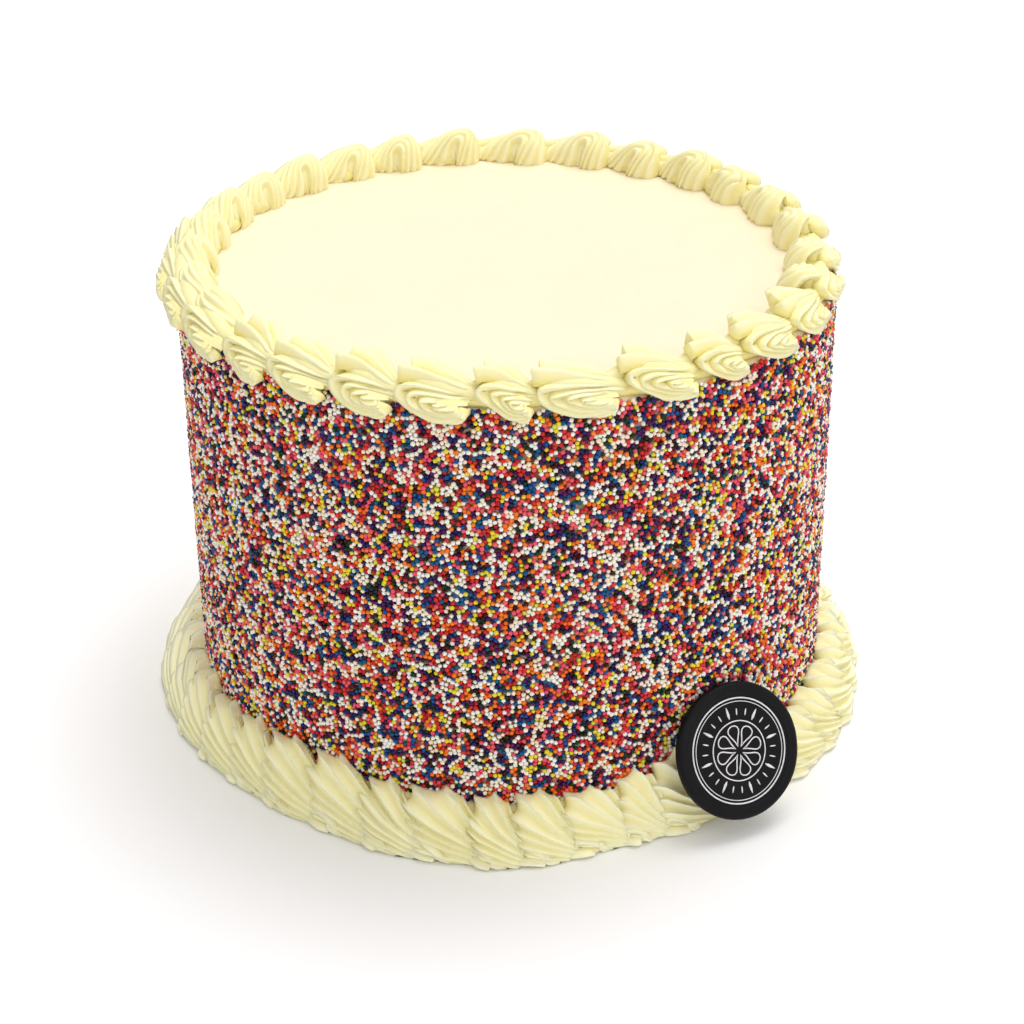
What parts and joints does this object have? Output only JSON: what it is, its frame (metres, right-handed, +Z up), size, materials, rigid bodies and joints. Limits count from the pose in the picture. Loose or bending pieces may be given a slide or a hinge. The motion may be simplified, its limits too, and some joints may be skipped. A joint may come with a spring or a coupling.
{
  "type": "sprinkle cake",
  "caption": "Tall round layer cake with a smooth iced top, a side coated in coloured sprinkles, piped shell borders at rim and foot, and a round chocolate plaque.",
  "frame": {"origin": "centre of the cake's base, on the surface it stands on", "axes": "+Z up along the cake's axis; -Y is the front of the picture, +X its right side, with the plaque between them"},
  "size_m": [0.2364, 0.2368, 0.158],
  "materials": {
    "sprinkled_side": "cake iced in cream buttercream, its side coated with coloured nonpareils",
    "piped_icing": "cream buttercream, satin",
    "chocolate": "moulded dark chocolate with a pale printed ornament"
  },
  "bodies": {
    "root": {"cake_body": "sprinkled_side", "top_border": "piped_icing", "bottom_border": "piped_icing", "chocolate_plaque": "chocolate"}
  },
  "joints": []
}
